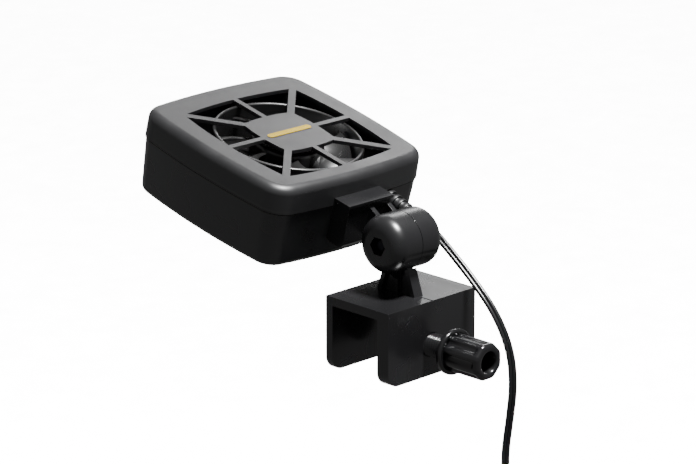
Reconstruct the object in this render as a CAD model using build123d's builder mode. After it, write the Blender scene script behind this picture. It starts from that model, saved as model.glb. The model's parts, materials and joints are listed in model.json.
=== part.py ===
"""Clip-on cooling fan for an aquarium: fan head, tilting knuckle, glass clamp and lead.

The origin is on the glass seat, the underside of the clamp's bridge where the top edge of the
tank's glass rests. +X runs along the glass, +Y points over the water and +Z is up.
The fan head is drawn in its own tilted plane, whose origin is the knuckle's pivot: there x runs
along the pivot, y away from it and z out of the grille.
"""

import os
from math import cos, pi, radians, sin, sqrt, tan

from build123d import *

os.makedirs("parts", exist_ok=True)

# ---------------------------------------------------------------- driving dimensions, in mm
# How far a cut runs past the surfaces that it opens, and a pilot hole past its screw
cut_margin = 1.0
pilot_run_out = 0.5
least_corner_radius = 1.0

# Clamp
clamp_length = 40.0
clamp_gap = 20.0
bridge_thickness = 3.0
screw_plate_thickness = 5.0
back_plate_thickness = 3.0
plate_depth = 22.0
plate_corner_radius = 4.5
glass_thickness = 6.0
mould_line_width = 0.5
mould_line_depth = 0.3

# Pedestal and knuckle
pivot_y = -1.0
pivot_height = 20.2
knuckle_diameter = 19.2
knuckle_length = 21.6
knuckle_edge_radius = 4.5
knuckle_split_x = 0.1
washer_thickness = 0.15
washer_diameter = 15.0
knuckle_clearance = 0.4
pedestal_rise = 8.9
pedestal_root = 4.0
pedestal_rib = 1.6
gusset_reach = 7.0
gusset_base = 6.0
pedestal_base_width = 17.0
pedestal_top_width = 10.8
pedestal_thickness = 3.8
pedestal_x = -0.4
pedestal_flange = 1.9
pedestal_web = 1.4

# Pivot bolt, M3
bolt_diameter = 3.0
bolt_length = 16.0
bolt_head_diameter = 5.5
bolt_head_height = 3.0
bolt_head_recess = 4.0
bolt_hex = 2.5
bolt_hex_depth = 1.5
bolt_head_edge_radius = 0.3
nut_across_flats = 5.5
nut_thickness = 2.4
nut_pocket_depth = 5.0
running_clearance = 0.05
thread_clearance = 0.02
fit_clearance = 0.1

# Thumbscrew, M8
screw_diameter = 8.0
screw_drop = 11.75
screw_exposed = 8.5
screw_collar_diameter = 15.2
screw_collar_thickness = 2.2
knob_diameter = 12.4
knob_length = 14.3
knob_flute_count = 8
knob_flute_radius = 1.7
knob_rim = 1.8
knob_bore = 7.0
knob_bore_depth = 10.0
knob_flute_offset = 0.7
knob_edge_radius = 1.4
collar_edge_radius = 0.5
pad_diameter = 12.0
pad_thickness = 3.2
pad_pin_diameter = 5.0
pad_pin_length = 2.2
pad_edge_radius = 0.8

# Fan head shells
head_tilt = 13.2
head_size = 71.5
head_bulge = 2.2
head_corner_radius = 8.5
head_reach = 21.85
cover_top = 13.7
cover_height = 9.4
housing_height = 19.8
cover_draft = 1.5
housing_draft = 3.0
cover_skin = 1.3
shell_wall = 2.0
cover_lip = 0.3
parting_gap = 0.4
parting_gap_depth = 0.45
cover_edge_radius = 3.0
housing_edge_radius = 2.5
tongue_height = 2.0
tongue_wall = 1.2

# Grille
window_corner = 24.6
window_bulge = 2.0
window_offset = -1.9
plate_corner = 10.9
plate_bulge = 1.1
diagonal_spoke = 2.5
cross_spoke = 2.0
trim_length = 19.0
trim_width = 2.4
trim_thickness = 0.15

# Exhaust guard in the housing's floor
exhaust_radius = 24.0
guard_bar = 1.6
guard_hub_radius = 6.0
guard_ring_radii = (12.0, 18.0)
guard_spoke_count = 8

# Shell screws, up through the floor into the cover's bosses
boss_offset = 27.0
boss_diameter = 4.8
post_wall = 1.0
shell_screw_diameter = 2.2
shell_screw_head = 4.0
shell_screw_head_height = 1.6
shell_screw_length = 12.0
shell_screw_bite = 5.5

# Fan duct and motor base
duct_bore = 48.0
duct_wall = 1.2
duct_rim_gap = 0.15
duct_rim_flat = 0.2
duct_bottom = -4.0
ear_offset = 20.5
ear_diameter = 7.0
ear_thickness = 2.5
ear_screw_diameter = 2.6
ear_screw_head = 4.6
ear_screw_head_height = 1.6
ear_screw_length = 9.0
base_diameter = 27.0
base_thickness = 2.1
strut_width = 3.0
strut_count = 4
bearing_tube_diameter = 6.6
bearing_diameter = 4.4
bearing_length = 8.0
bearing_well_floor = 0.8
bearing_lift = 1.2
bearing_proud = 0.4
shaft_diameter = 2.0
shaft_clip_thickness = 0.4
shaft_clip_diameter = 3.6
shaft_clip_lift = 0.3
shaft_chamfer = 0.15

# Impeller and motor
blade_count = 7
blade_thickness = 1.3
blade_chord = 13.0
blade_pitch = 38.0
blade_tip_gap = 0.7
blade_root_gap = 0.3
hub_diameter = 24.5
hub_skin = 2.2
hub_top = 10.6
hub_bottom = 0.2
hub_edge_radius = 1.2
hub_boss_diameter = 5.0
hub_boss_length = 1.9
shaft_seat = 1.6
yoke_outer = 21.0
yoke_wall = 0.7
yoke_bottom = 0.4
magnet_wall = 1.1
magnet_length = 6.0
stator_diameter = 16.2
stator_thickness = 4.0
stator_bottom = 1.5
stator_hub_diameter = 9.0
pole_count = 4
pole_neck = 3.0
pole_shoe = 1.6
pole_gap = 2.4
coil_margin = 1.0
board_diameter = 24.0
board_thickness = 1.0

# Tilt bracket on the back of the head
block_width = 19.0
block_face = 15.6
block_top = 6.0
block_bottom = -8.7
block_edge_radius = 2.0
ledge_width = 20.2
ledge_overhang = 0.5
ledge_thickness = 1.0
arm_rib = 1.7
arm_top = 4.7
arm_bottom = -6.5
arm_slope = 24.0
arm_web = 1.8
arm_root = 4.0
arm_overlap = 1.0
block_depth = 7.8
bracket_screw_spacing = 11.0
bracket_screw_w = -2.5
bracket_screw_diameter = 2.5
bracket_screw_head = 4.6
bracket_screw_head_height = 1.5
bracket_screw_length = 7.5
bracket_screw_seat_gap = 0.15

# Lead, strain relief, coil and plug
lead_width = 2.7
lead_x = 16.5
lead_exit_w = 1.3
relief_droop = 6.0
relief_length = 14.2
relief_stand_off = 0.6
relief_root_diameter = 5.6
relief_tip_diameter = 4.4
relief_neck_diameter = 5.0
relief_core_diameter = 3.9
relief_ring_count = 6
relief_ring_width = 1.2
relief_flange_diameter = 7.4
relief_flange_thickness = 1.2
relief_flange_gap = 0.5
lead_straight = 7.0
bend_share = 0.45
coil_mean_radius = 15.0
coil_radial = 8.1
coil_axial = 10.8
coil_edge_radius = 3.0
coil_overlap = 0.3
tie_wall = 0.7
tie_arc = 16.0
tie_angle = 40.0
tail_length = 20.0
tail_shift = (0.7, 0.3)
plug_boot_length = 10.0
plug_boot_diameter = 5.6
plug_boot_wall = 0.5
plug_body_diameter = 9.6
plug_body_length = 20.0
plug_edge_radius = 1.0
plug_sleeve_diameter = 5.5
plug_sleeve_length = 9.5
plug_sleeve_wall = 0.5
plug_tip_ring = 1.0
plug_contact_outer = 3.3
plug_contact_bore = 2.1
inner_lead_diameter = 2.2
inner_lead_lead_in = 6.0

# ---------------------------------------------------------------- derived places
gap_half = clamp_gap / 2
outer_y = -gap_half - screw_plate_thickness
inner_y = gap_half + back_plate_thickness
pad_face_y = gap_half - glass_thickness
knuckle_radius = knuckle_diameter / 2
split_far_x = knuckle_split_x + washer_thickness
screw_z = -screw_drop
collar_y = outer_y - screw_exposed
knob_y = collar_y - screw_collar_thickness

head = Plane(
    origin=(0, pivot_y, pivot_height),
    x_dir=(1, 0, 0),
    z_dir=(0, -sin(radians(head_tilt)), cos(radians(head_tilt))),
)
up = Axis(head.origin, head.z_dir)
side = Plane(origin=head.origin, x_dir=head.y_dir, z_dir=(1, 0, 0))
knuckle = Plane(origin=head.origin, x_dir=(0, 1, 0), z_dir=(1, 0, 0))
head_centre = head_reach + head_size / 2
fan_centre = head_centre + window_offset
parting = cover_top - cover_height
head_bottom = parting - housing_height
floor_top = head_bottom + shell_wall
grille_bottom = cover_top - cover_skin
duct_top = grille_bottom - duct_rim_gap
base_top = duct_bottom + base_thickness
screw_seat = parting + shell_screw_bite - shell_screw_length
bearing_bottom = duct_bottom + bearing_well_floor + bearing_lift
tube_top = bearing_bottom + bearing_length - bearing_proud
shaft_bottom = duct_bottom + bearing_well_floor + shaft_clip_lift
hub_ceiling = hub_top - hub_skin
half_blade = (blade_chord * cos(radians(blade_pitch)) + blade_thickness * sin(radians(blade_pitch))) / 2
blade_root = yoke_outer / 2 + blade_root_gap
blade_tip = sqrt((duct_bore / 2 - blade_tip_gap) ** 2 - half_blade**2)
block_back = block_face + block_depth
bolt_seat_x = knuckle_length / 2 - bolt_head_recess
nut_seat_x = -knuckle_length / 2 + nut_pocket_depth
rabbet_inset = cover_lip + shell_wall - tongue_wall - fit_clearance
cavity_inset = cover_lip + shell_wall


def head_point(x, y, z):
    """A point of the head's plane, in the model's own frame."""
    return head.from_local_coords(Vector(x, y, z))


def export(builder, name):
    """Name a finished piece and write it to its own file."""
    builder.part.label = name
    export_step(builder.part, f"parts/{name}.step")


def bowed_square(corner, bulge, radius=0.0):
    """Square whose sides bow outward by the bulge, its sharp corners rounded if a radius is given."""
    middle = corner + bulge
    with BuildSketch() as outline:
        with BuildLine():
            ThreePointArc((corner, -corner), (middle, 0), (corner, corner))
            ThreePointArc((corner, corner), (0, middle), (-corner, corner))
            ThreePointArc((-corner, corner), (-middle, 0), (-corner, -corner))
            ThreePointArc((-corner, -corner), (0, -middle), (corner, -corner))
        make_face()
        if radius > 0:
            fillet(outline.vertices(), radius=radius)
    return outline.sketch


def shell_outline(inset):
    """Outline of the fan head, drawn in from its widest line by the inset."""
    corner = head_size / 2 - head_bulge - inset
    return bowed_square(corner, head_bulge, max(head_corner_radius - inset, least_corner_radius))


def drafted_block(start, height, inset, draft):
    """Block with the head's outline from one level to another, drawn in by its draft as it goes."""
    with BuildPart() as block:
        for climb in (0, height):
            with BuildSketch(head.offset(start + climb)):
                with Locations((0, head_centre)):
                    add(shell_outline(inset + abs(climb) * tan(radians(draft))))
        loft(ruled=True)
    return block.part


def square_pattern(offset):
    """The four corners of a square."""
    return [(x * offset, y * offset) for x in (-1, 1) for y in (-1, 1)]


def wall_reach(x, z):
    """How far from the pivot the housing's back wall stands, at a place on that wall."""
    corner = head_size / 2 - head_bulge - cover_lip
    bow = (corner**2 + head_bulge**2) / (2 * head_bulge)
    draft = (parting - z) * tan(radians(housing_draft))
    return head_reach + cover_lip + bow - sqrt(bow**2 - x**2) + draft


def knuckle_half(inner_x, outer_x):
    """Half of the knuckle's barrel, its outer end rounded over."""
    with BuildPart() as half:
        with BuildSketch(knuckle.offset(inner_x)):
            Circle(knuckle_radius)
        extrude(amount=outer_x - inner_x)
        outer_end = half.faces().sort_by(Axis.X)[0 if outer_x < inner_x else -1]
        fillet(outer_end.edges(), radius=knuckle_edge_radius)
    return half.part


def pedestal_outline(inset):
    """Tapered side view of the pedestal, drawn in from its two sloping edges by the inset."""
    base = pedestal_base_width / 2 - inset
    top = pedestal_top_width / 2 - inset
    with BuildSketch() as outline:
        with BuildLine():
            Polyline(
                (-base, -mould_line_depth),
                (base, -mould_line_depth),
                (top, pedestal_rise),
                (top, pedestal_rise + pedestal_root),
                (-top, pedestal_rise + pedestal_root),
                (-top, pedestal_rise),
                close=True,
            )
        make_face()
    return outline.sketch


def screw_plane(y):
    """Plane square to the thumbscrew, facing out of the clamp."""
    return Plane(origin=(0, y, screw_z), x_dir=(1, 0, 0), z_dir=(0, -1, 0))


def bend_radii(points):
    """The largest bend that each corner of a route has room for."""
    radii = []
    for before, corner, after in zip(points, points[1:], points[2:]):
        arriving = Vector(corner) - Vector(before)
        leaving = Vector(after) - Vector(corner)
        turn = radians(arriving.get_angle(leaving))
        radii.append(bend_share * min(arriving.length, leaving.length) / tan(turn / 2))
    return radii


def tube(points, diameter, name):
    """Round tube along straight runs joined by tangent arcs, with its bends and volume printed."""
    radii = bend_radii(points)
    with BuildPart() as made:
        with BuildLine():
            route = FilletPolyline(*points, radius=radii)
        with BuildSketch(Plane(origin=route @ 0, z_dir=route % 0)):
            Circle(diameter / 2)
        sweep()
    section = pi * diameter**2 / 4
    bends = ", ".join(f"{radius:.1f}" for radius in radii)
    print(f"{name}: bends {bends}; length {route.length:.1f}; "
          f"volume {made.part.volume:.1f} of {section * route.length:.1f}")
    return made


relief_plane = Plane(
    origin=head_point(lead_x, wall_reach(lead_x, lead_exit_w), lead_exit_w),
    x_dir=(1, 0, 0),
    z_dir=-head.y_dir * cos(radians(relief_droop)) - head.z_dir * sin(radians(relief_droop)),
)
bracket_screw_v = wall_reach(bracket_screw_spacing / 2, bracket_screw_w) + shell_wall
bracket_screw_plane = Plane(
    origin=head_point(0, bracket_screw_v + bracket_screw_seat_gap, bracket_screw_w),
    x_dir=(1, 0, 0),
    z_dir=-head.y_dir,
)
fan = Plane(origin=head_point(0, fan_centre, 0), x_dir=(1, 0, 0), z_dir=head.z_dir)
pedestal_plane = Plane(
    origin=(pedestal_x, pivot_y, bridge_thickness), x_dir=(0, 1, 0), z_dir=(1, 0, 0)
)


# ---------------------------------------------------------------- top cover with its grille
with BuildPart() as top_cover:
    add(drafted_block(parting, cover_height, 0, cover_draft))
    fillet(top_cover.faces().sort_by(up)[-1].edges(), radius=cover_edge_radius)
    add(drafted_block(parting, cover_height - cover_skin, shell_wall, cover_draft), mode=Mode.SUBTRACT)
    with BuildSketch(head.offset(parting)):
        with Locations((0, head_centre)):
            add(shell_outline(rabbet_inset))
    extrude(amount=tongue_height + fit_clearance, mode=Mode.SUBTRACT)
    with BuildSketch(head.offset(parting)):
        with Locations((0, head_centre)):
            with Locations(*square_pattern(boss_offset)):
                Circle(boss_diameter / 2)
    extrude(amount=cover_height - cover_skin)
    with BuildSketch(head.offset(parting)):
        with Locations((0, head_centre)):
            with Locations(*square_pattern(boss_offset)):
                Circle(shell_screw_diameter / 2)
    extrude(amount=shell_screw_bite + pilot_run_out, mode=Mode.SUBTRACT)
    with BuildSketch(head.offset(grille_bottom - cut_margin)):
        with Locations((0, fan_centre)):
            add(bowed_square(window_corner, window_bulge))
            add(bowed_square(plate_corner, plate_bulge), mode=Mode.SUBTRACT)
            for turn in (45, 135):
                Rectangle(4 * window_corner, diagonal_spoke, rotation=turn, mode=Mode.SUBTRACT)
            for turn in (0, 90):
                Rectangle(4 * window_corner, cross_spoke, rotation=turn, mode=Mode.SUBTRACT)
    extrude(amount=cover_skin + 2 * cut_margin, mode=Mode.SUBTRACT)
export(top_cover, "top_cover")

with BuildPart() as trim_bar:
    with BuildSketch(head.offset(cover_top)):
        with Locations((0, fan_centre)):
            SlotOverall(trim_length, trim_width)
    extrude(amount=trim_thickness)
export(trim_bar, "trim_bar")

# ---------------------------------------------------------------- lower housing
with BuildPart() as lower_housing:
    add(drafted_block(parting, -housing_height, cover_lip, housing_draft))
    fillet(lower_housing.faces().sort_by(up)[0].edges(), radius=housing_edge_radius)
    add(drafted_block(parting, floor_top - parting, cavity_inset, housing_draft), mode=Mode.SUBTRACT)
    with BuildSketch(head.offset(parting)):
        with Locations((0, head_centre)):
            add(shell_outline(rabbet_inset + fit_clearance))
            add(shell_outline(cavity_inset), mode=Mode.SUBTRACT)
    extrude(amount=tongue_height)
    with BuildSketch(head.offset(parting)):
        with Locations((0, head_centre)):
            add(shell_outline(0))
            add(shell_outline(cover_lip + parting_gap_depth), mode=Mode.SUBTRACT)
    extrude(amount=-parting_gap, mode=Mode.SUBTRACT)
    with BuildSketch(head.offset(floor_top)):
        with Locations((0, fan_centre)):
            with Locations(*square_pattern(ear_offset)):
                Circle(ear_diameter / 2)
    extrude(amount=duct_bottom - floor_top)
    with BuildSketch(head.offset(floor_top)):
        with Locations((0, head_centre)):
            with Locations(*square_pattern(boss_offset)):
                Circle(shell_screw_head / 2 + fit_clearance + post_wall)
    extrude(amount=parting - floor_top)
    with BuildSketch(head.offset(head_bottom - cut_margin)):
        with Locations((0, head_centre)):
            with Locations(*square_pattern(boss_offset)):
                Circle(shell_screw_diameter / 2 + fit_clearance)
    extrude(amount=parting - head_bottom + 2 * cut_margin, mode=Mode.SUBTRACT)
    with BuildSketch(head.offset(head_bottom - cut_margin)):
        with Locations((0, head_centre)):
            with Locations(*square_pattern(boss_offset)):
                Circle(shell_screw_head / 2 + fit_clearance)
    extrude(amount=screw_seat - head_bottom + cut_margin, mode=Mode.SUBTRACT)
    with BuildSketch(head.offset(duct_bottom)):
        with Locations((0, fan_centre)):
            with Locations(*square_pattern(ear_offset)):
                Circle(ear_screw_diameter / 2)
    extrude(amount=-(ear_screw_length - ear_thickness + pilot_run_out), mode=Mode.SUBTRACT)
    with BuildSketch(head.offset(head_bottom - cut_margin)):
        with Locations((0, fan_centre)):
            Circle(exhaust_radius)
            for radius in sorted(guard_ring_radii, reverse=True):
                Circle(radius + guard_bar / 2, mode=Mode.SUBTRACT)
                Circle(radius - guard_bar / 2)
            Circle(guard_hub_radius, mode=Mode.SUBTRACT)
            for spoke in range(guard_spoke_count // 2):
                Rectangle(
                    2 * (exhaust_radius + cut_margin),
                    guard_bar,
                    rotation=360 / guard_spoke_count * spoke,
                    mode=Mode.SUBTRACT,
                )
    extrude(amount=shell_wall + 2 * cut_margin, mode=Mode.SUBTRACT)
    with BuildSketch(relief_plane.offset(-shell_wall - 2 * cut_margin)):
        Circle(relief_neck_diameter / 2)
    extrude(amount=shell_wall + 4 * cut_margin, mode=Mode.SUBTRACT)
    with BuildSketch(bracket_screw_plane):
        with GridLocations(bracket_screw_spacing, 0, 2, 1):
            Circle(bracket_screw_diameter / 2 + fit_clearance)
    extrude(amount=2 * shell_wall, both=True, mode=Mode.SUBTRACT)
export(lower_housing, "lower_housing")

with BuildPart() as shell_screws:
    with BuildSketch(head.offset(screw_seat)):
        with Locations((0, head_centre)):
            with Locations(*square_pattern(boss_offset)):
                Circle(shell_screw_head / 2)
    extrude(amount=-shell_screw_head_height)
    with BuildSketch(head.offset(screw_seat)):
        with Locations((0, head_centre)):
            with Locations(*square_pattern(boss_offset)):
                Circle(shell_screw_diameter / 2)
    extrude(amount=shell_screw_length)
export(shell_screws, "shell_screws")

# ---------------------------------------------------------------- fan duct and motor
with BuildPart() as fan_duct:
    with BuildSketch(fan.offset(duct_bottom)):
        with Locations(*square_pattern(ear_offset)):
            Circle(ear_diameter / 2)
        for turn in (45, 135):
            Rectangle(2 * sqrt(2) * ear_offset, ear_diameter, rotation=turn)
        Circle(duct_bore / 2, mode=Mode.SUBTRACT)
        with Locations(*square_pattern(ear_offset)):
            Circle(ear_screw_diameter / 2 + fit_clearance, mode=Mode.SUBTRACT)
    extrude(amount=ear_thickness)
    with BuildSketch(fan.offset(duct_bottom)):
        Circle(duct_bore / 2 + duct_wall)
        Circle(duct_bore / 2, mode=Mode.SUBTRACT)
    extrude(amount=duct_top - duct_bottom)
    fillet(fan_duct.faces().sort_by(up)[-1].edges(), radius=(duct_wall - duct_rim_flat) / 2)
    with BuildSketch(fan.offset(duct_bottom)):
        Circle(base_diameter / 2)
        with PolarLocations((duct_bore + duct_wall) / 4, strut_count):
            Rectangle((duct_bore + duct_wall) / 2, strut_width)
    extrude(amount=base_thickness)
    with BuildSketch(fan.offset(base_top)):
        Circle(bearing_tube_diameter / 2)
    extrude(amount=tube_top - base_top)
    with BuildSketch(fan.offset(duct_bottom + bearing_well_floor)):
        Circle(bearing_diameter / 2)
    extrude(amount=tube_top - duct_bottom, mode=Mode.SUBTRACT)
export(fan_duct, "fan_duct")

with BuildPart() as duct_screws:
    with BuildSketch(fan.offset(duct_bottom + ear_thickness)):
        with Locations(*square_pattern(ear_offset)):
            Circle(ear_screw_head / 2)
    extrude(amount=ear_screw_head_height)
    with BuildSketch(fan.offset(duct_bottom + ear_thickness)):
        with Locations(*square_pattern(ear_offset)):
            Circle(ear_screw_diameter / 2)
    extrude(amount=-ear_screw_length)
export(duct_screws, "duct_screws")

with BuildPart() as sleeve_bearing:
    with BuildSketch(fan.offset(bearing_bottom)):
        Circle(bearing_diameter / 2)
        Circle(shaft_diameter / 2 + running_clearance, mode=Mode.SUBTRACT)
    extrude(amount=bearing_length)
export(sleeve_bearing, "sleeve_bearing")

with BuildPart() as circuit_board:
    with BuildSketch(fan.offset(base_top)):
        Circle(board_diameter / 2)
        Circle(bearing_tube_diameter / 2, mode=Mode.SUBTRACT)
    extrude(amount=board_thickness)
export(circuit_board, "circuit_board")

with BuildPart() as stator_core:
    with BuildSketch(fan.offset(stator_bottom)):
        Circle(stator_diameter / 2)
        Circle(stator_diameter / 2 - pole_shoe, mode=Mode.SUBTRACT)
        for turn in (45, 135):
            Rectangle(2 * stator_diameter, pole_gap, rotation=turn, mode=Mode.SUBTRACT)
        Circle(stator_hub_diameter / 2)
        for turn in (0, 90):
            Rectangle(stator_diameter - pole_shoe, pole_neck, rotation=turn)
        Circle(bearing_tube_diameter / 2, mode=Mode.SUBTRACT)
    extrude(amount=stator_thickness)
export(stator_core, "stator_core")

coil_length = (stator_diameter - stator_hub_diameter) / 2 - pole_shoe - fit_clearance
with BuildPart() as stator_coils:
    with BuildSketch(fan.offset(stator_bottom - coil_margin)):
        with PolarLocations((stator_hub_diameter + coil_length + fit_clearance) / 2, pole_count):
            Rectangle(coil_length, pole_neck + 2 * coil_margin)
    extrude(amount=stator_thickness + 2 * coil_margin)
    add(stator_core.part, mode=Mode.SUBTRACT)
export(stator_coils, "stator_coils")

with BuildPart() as impeller:
    with BuildSketch(fan.offset(hub_bottom)):
        Circle(hub_diameter / 2)
    extrude(amount=hub_top - hub_bottom)
    fillet(impeller.faces().sort_by(up)[-1].edges(), radius=hub_edge_radius)
    for blade in range(blade_count):
        turn = radians(360 / blade_count * blade)
        outward = fan.x_dir * cos(turn) + fan.y_dir * sin(turn)
        root = Plane(
            origin=fan.offset((hub_top + hub_bottom) / 2).origin + outward * blade_root,
            x_dir=fan.z_dir.cross(outward),
            z_dir=outward,
        )
        with BuildSketch(root):
            Rectangle(blade_chord, blade_thickness, rotation=blade_pitch)
        extrude(amount=blade_tip - blade_root)
    with BuildSketch(fan.offset(hub_bottom)):
        Circle(yoke_outer / 2)
    extrude(amount=hub_ceiling - hub_bottom, mode=Mode.SUBTRACT)
    with BuildSketch(fan.offset(hub_ceiling)):
        Circle(hub_boss_diameter / 2)
    extrude(amount=-hub_boss_length)
    with BuildSketch(fan.offset(hub_ceiling - hub_boss_length)):
        Circle(shaft_diameter / 2)
    extrude(amount=hub_boss_length + shaft_seat, mode=Mode.SUBTRACT)
export(impeller, "impeller")

with BuildPart() as rotor_yoke:
    with BuildSketch(fan.offset(yoke_bottom)):
        Circle(yoke_outer / 2)
    extrude(amount=hub_ceiling - yoke_bottom)
    with BuildSketch(fan.offset(yoke_bottom)):
        Circle(yoke_outer / 2 - yoke_wall)
    extrude(amount=hub_ceiling - yoke_bottom - yoke_wall, mode=Mode.SUBTRACT)
    with BuildSketch(fan.offset(hub_ceiling)):
        Circle(hub_boss_diameter / 2)
    extrude(amount=-2 * yoke_wall, mode=Mode.SUBTRACT)
export(rotor_yoke, "rotor_yoke")

with BuildPart() as magnet_ring:
    with BuildSketch(fan.offset(yoke_bottom)):
        Circle(yoke_outer / 2 - yoke_wall)
        Circle(yoke_outer / 2 - yoke_wall - magnet_wall, mode=Mode.SUBTRACT)
    extrude(amount=magnet_length)
export(magnet_ring, "magnet_ring")

with BuildPart() as rotor_shaft:
    with BuildSketch(fan.offset(shaft_bottom)):
        Circle(shaft_diameter / 2)
    extrude(amount=hub_ceiling + shaft_seat - shaft_bottom)
    chamfer(rotor_shaft.edges(), length=shaft_chamfer)
export(rotor_shaft, "rotor_shaft")

with BuildPart() as shaft_clip:
    with BuildSketch(fan.offset(shaft_bottom + shaft_clip_lift)):
        Circle(shaft_clip_diameter / 2)
        Circle(shaft_diameter / 2, mode=Mode.SUBTRACT)
    extrude(amount=shaft_clip_thickness)
export(shaft_clip, "shaft_clip")

# ---------------------------------------------------------------- tilt bracket
with BuildPart() as tilt_bracket:
    with BuildSketch(head.offset(block_bottom)):
        with Locations((0, (block_face + block_back) / 2)):
            Rectangle(block_width, block_back - block_face)
    extrude(amount=block_top - block_bottom)
    fillet(tilt_bracket.faces().sort_by(up)[0].edges().filter_by(Axis.X), radius=block_edge_radius)
    with BuildSketch(head.offset(block_top)):
        with Locations((0, (block_face - ledge_overhang + block_back) / 2)):
            Rectangle(ledge_width, block_back - block_face + ledge_overhang)
    extrude(amount=ledge_thickness)
    add(drafted_block(parting, -housing_height, cover_lip, housing_draft), mode=Mode.SUBTRACT)
    add(drafted_block(parting, cover_height, 0, cover_draft), mode=Mode.SUBTRACT)
    for low_x in (split_far_x, block_width / 2 - arm_rib):
        with BuildSketch(side.offset(low_x)):
            with BuildLine():
                Polyline(
                    (block_face + arm_overlap, arm_top),
                    (arm_root, arm_top - (block_face - arm_root) * tan(radians(arm_slope))),
                    (arm_root, arm_bottom / 2),
                    (block_face + arm_overlap, arm_bottom),
                    close=True,
                )
            make_face()
        extrude(amount=arm_rib)
    with BuildSketch(side.offset(split_far_x)):
        with BuildLine():
            Polyline(
                (block_face + arm_overlap, arm_bottom + arm_web),
                (arm_root, arm_bottom / 2 + arm_web),
                (arm_root, arm_bottom / 2),
                (block_face + arm_overlap, arm_bottom),
                close=True,
            )
        make_face()
    extrude(amount=block_width / 2 - split_far_x)
    add(knuckle_half(split_far_x, knuckle_length / 2))
    with BuildSketch(knuckle.offset(split_far_x - cut_margin)):
        Circle(bolt_diameter / 2 + running_clearance)
    extrude(amount=knuckle_length, mode=Mode.SUBTRACT)
    with BuildSketch(knuckle.offset(bolt_seat_x)):
        Circle(bolt_head_diameter / 2 + fit_clearance)
    extrude(amount=bolt_head_recess + cut_margin, mode=Mode.SUBTRACT)
    with BuildSketch(bracket_screw_plane):
        with GridLocations(bracket_screw_spacing, 0, 2, 1):
            Circle(bracket_screw_diameter / 2)
    extrude(amount=bracket_screw_length + pilot_run_out, mode=Mode.SUBTRACT)
export(tilt_bracket, "tilt_bracket")

with BuildPart() as bracket_screws:
    with BuildSketch(bracket_screw_plane):
        with GridLocations(bracket_screw_spacing, 0, 2, 1):
            Circle(bracket_screw_diameter / 2)
    extrude(amount=bracket_screw_length)
    with BuildSketch(bracket_screw_plane):
        with GridLocations(bracket_screw_spacing, 0, 2, 1):
            Circle(bracket_screw_head / 2)
    extrude(amount=-bracket_screw_head_height)
export(bracket_screws, "bracket_screws")

# ---------------------------------------------------------------- pivot hardware
with BuildPart() as friction_washer:
    with BuildSketch(knuckle.offset(knuckle_split_x)):
        Circle(washer_diameter / 2)
        Circle(bolt_diameter / 2 + fit_clearance, mode=Mode.SUBTRACT)
    extrude(amount=washer_thickness)
export(friction_washer, "friction_washer")

with BuildPart() as pivot_bolt:
    with BuildSketch(knuckle.offset(bolt_seat_x)):
        Circle(bolt_diameter / 2)
    extrude(amount=-bolt_length)
    with BuildSketch(knuckle.offset(bolt_seat_x)):
        Circle(bolt_head_diameter / 2)
    extrude(amount=bolt_head_height)
    fillet(pivot_bolt.faces().sort_by(Axis.X)[-1].edges(), radius=bolt_head_edge_radius)
    with BuildSketch(knuckle.offset(bolt_seat_x + bolt_head_height)):
        RegularPolygon(bolt_hex / 2, 6, major_radius=False)
    extrude(amount=-bolt_hex_depth, mode=Mode.SUBTRACT)
export(pivot_bolt, "pivot_bolt")

with BuildPart() as pivot_nut:
    with BuildSketch(knuckle.offset(nut_seat_x)):
        RegularPolygon(nut_across_flats / 2, 6, major_radius=False)
        Circle(bolt_diameter / 2 + thread_clearance, mode=Mode.SUBTRACT)
    extrude(amount=-nut_thickness)
export(pivot_nut, "pivot_nut")

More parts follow.
